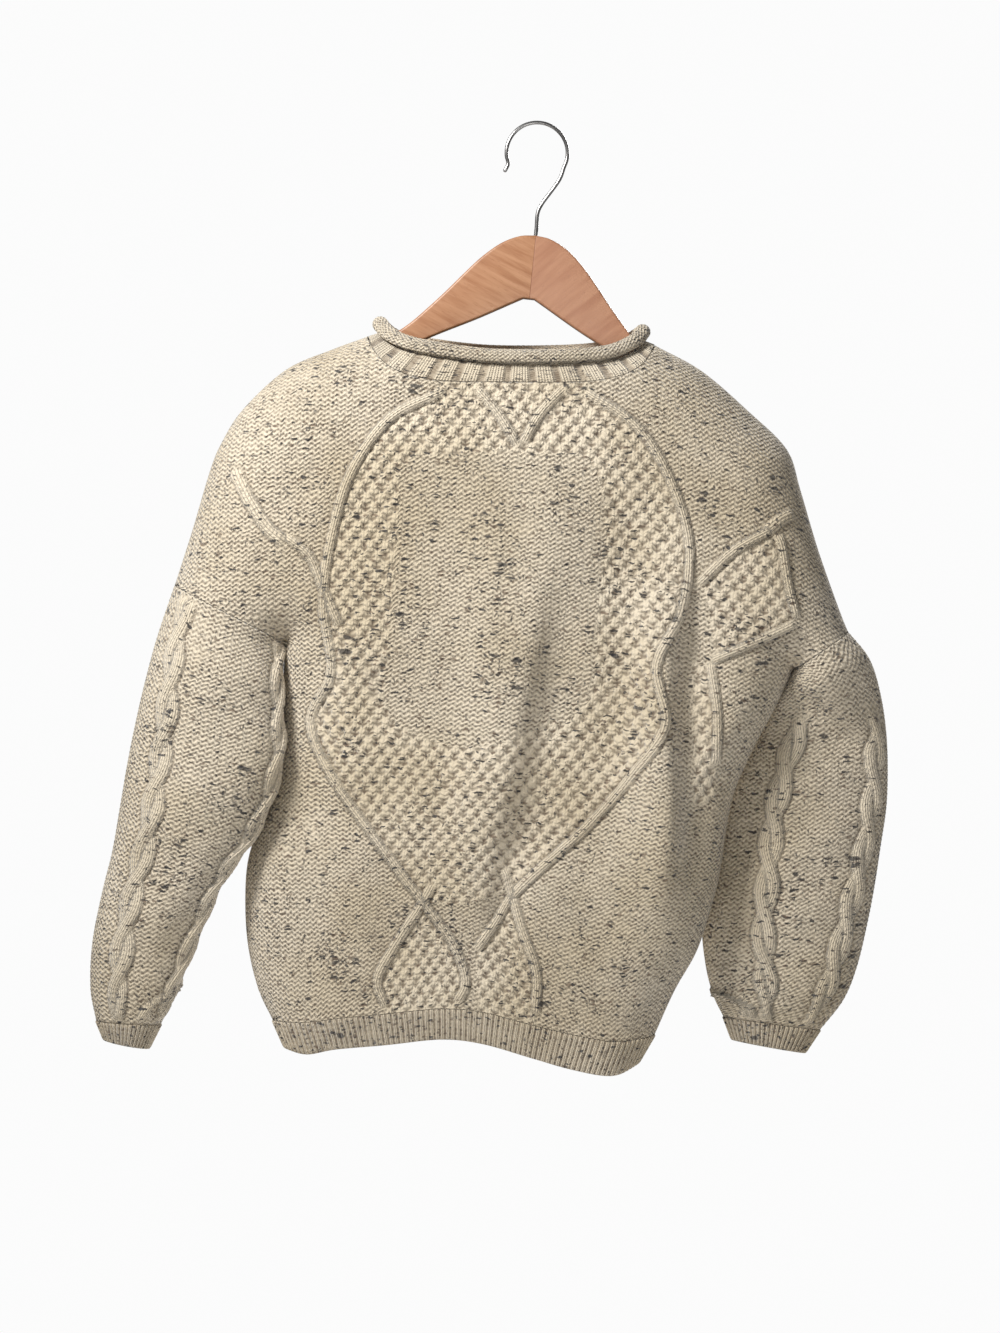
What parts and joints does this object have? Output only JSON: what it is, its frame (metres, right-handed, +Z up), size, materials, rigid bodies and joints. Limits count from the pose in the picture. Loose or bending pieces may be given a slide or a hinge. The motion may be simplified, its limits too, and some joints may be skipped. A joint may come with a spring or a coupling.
{
  "type": "novelty sweater on a wooden hanger",
  "caption": "Chunky flecked wool sweater with travelling ribs, moss stitch and rope-cable sleeves, hung on a wooden hanger with a wire hook.",
  "frame": {"origin": "inner top of the hook, where a rail carries the hanger", "axes": "+Z up; +X across the garment, to the right as one looks at the front panel along +Y; the front panel faces -Y"},
  "size_m": [0.7172, 0.1269, 0.8572],
  "materials": {
    "wool": "oatmeal tweed wool knitted in reverse stocking stitch, with dark flecks",
    "rib_wool": "the same wool in knit ribs",
    "hanger_wood": "satin beech with a mitred centre joint",
    "hook_wire": "bright bent steel wire"
  },
  "bodies": {
    "root": {"front_panel": "wool", "back_panel": "wool", "sleeve_left": "wool", "sleeve_right": "wool", "hem_rib_front": "rib_wool", "hem_rib_back": "rib_wool", "cuff_left": "rib_wool", "cuff_right": "rib_wool", "neck_rib": "rib_wool", "neck_roll": "wool", "hanger": "hanger_wood", "hook": "hook_wire"}
  },
  "joints": []
}
